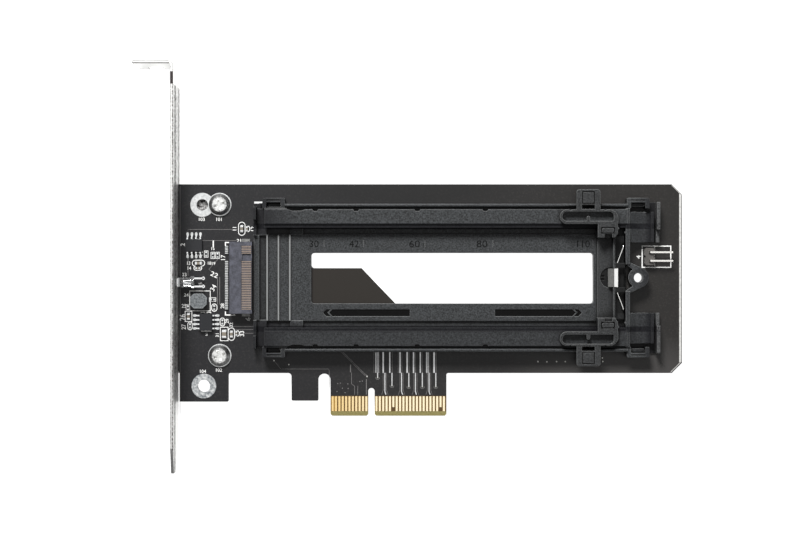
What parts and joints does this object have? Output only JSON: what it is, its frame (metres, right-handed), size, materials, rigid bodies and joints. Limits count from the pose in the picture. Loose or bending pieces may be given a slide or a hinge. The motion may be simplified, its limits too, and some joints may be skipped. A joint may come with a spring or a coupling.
{
  "type": "drive adapter card",
  "caption": "Adapter card that holds a solid-state drive stick in a card-edge slot, with a full-height bracket and a sliding length stop.",
  "frame": {"origin": "edge connector datum: middle of the key slot, on the mating edge, halfway through the board", "axes": "+X away from the bracket along the board, +Y from the mating edge towards the bracket's ear, +Z out of the component side"},
  "size_m": [0.1613, 0.12, 0.0184],
  "materials": {
    "board_mask": "matt black solder mask over glass-epoxy board",
    "contact_gold": "hard gold plating",
    "hole_tin": "tinned copper",
    "bracket_nickel": "nickel-plated sheet steel",
    "screw_nickel": "nickel-plated steel",
    "socket_plastic": "moulded heat-resistant plastic",
    "socket_gold": "thin gold over copper alloy",
    "lead_tin": "tinned copper alloy",
    "chip_epoxy": "moulded epoxy",
    "ferrite": "sintered ferrite",
    "copper_wire": "enamelled copper",
    "lamp_clear": "clear epoxy",
    "capacitor_ceramic": "fired ceramic",
    "resistor_ceramic": "glass-coated ceramic",
    "part_end_tin": "tin plating",
    "header_plastic": "moulded plastic",
    "header_tin": "tin over copper alloy",
    "carrier_plastic": "moulded black plastic",
    "slider_plastic": "moulded black plastic",
    "catch_steel": "folded spring steel",
    "spring_steel": "stainless spring wire"
  },
  "bodies": {
    "card": {"circuit_board": "board_mask", "edge_fingers_top": "contact_gold", "edge_fingers_under": "contact_gold", "foot_hole_pads": "hole_tin", "spare_hole_pads": "hole_tin", "bracket": "bracket_nickel", "bracket_screw_upper": "screw_nickel", "bracket_screw_lower": "screw_nickel", "drive_socket_housing": "socket_plastic", "drive_socket_contacts": "socket_gold", "drive_socket_leads": "lead_tin", "drive_socket_nails": "lead_tin", "upper_chip_body": "chip_epoxy", "upper_chip_leads": "lead_tin", "lower_chip_body": "chip_epoxy", "lower_chip_leads": "lead_tin", "inductor_core": "ferrite", "inductor_coil": "copper_wire", "inductor_terminals": "lead_tin", "led_lens": "lamp_clear", "led_leads": "lead_tin", "capacitor_bodies": "capacitor_ceramic", "capacitor_ends": "part_end_tin", "resistor_bodies": "resistor_ceramic", "resistor_ends": "part_end_tin", "header_base": "header_plastic", "header_pins": "header_tin", "carrier_frame": "carrier_plastic"},
    "slider": {"length_slider": "slider_plastic", "catch_spring": "spring_steel"},
    "catch": {"drive_catch": "catch_steel"}
  },
  "joints": [
    {"name": "length_adjust", "type": "slide", "parent": "card", "child": "slider", "axis": [1, 0, 0], "range_m": [-0.08, 0]},
    {"name": "catch_push", "type": "slide", "parent": "slider", "child": "catch", "axis": [1, 0, 0], "range_m": [0, 0.0015], "stiffness_N_per_m": 300, "deforming": ["catch_spring"]}
  ]
}
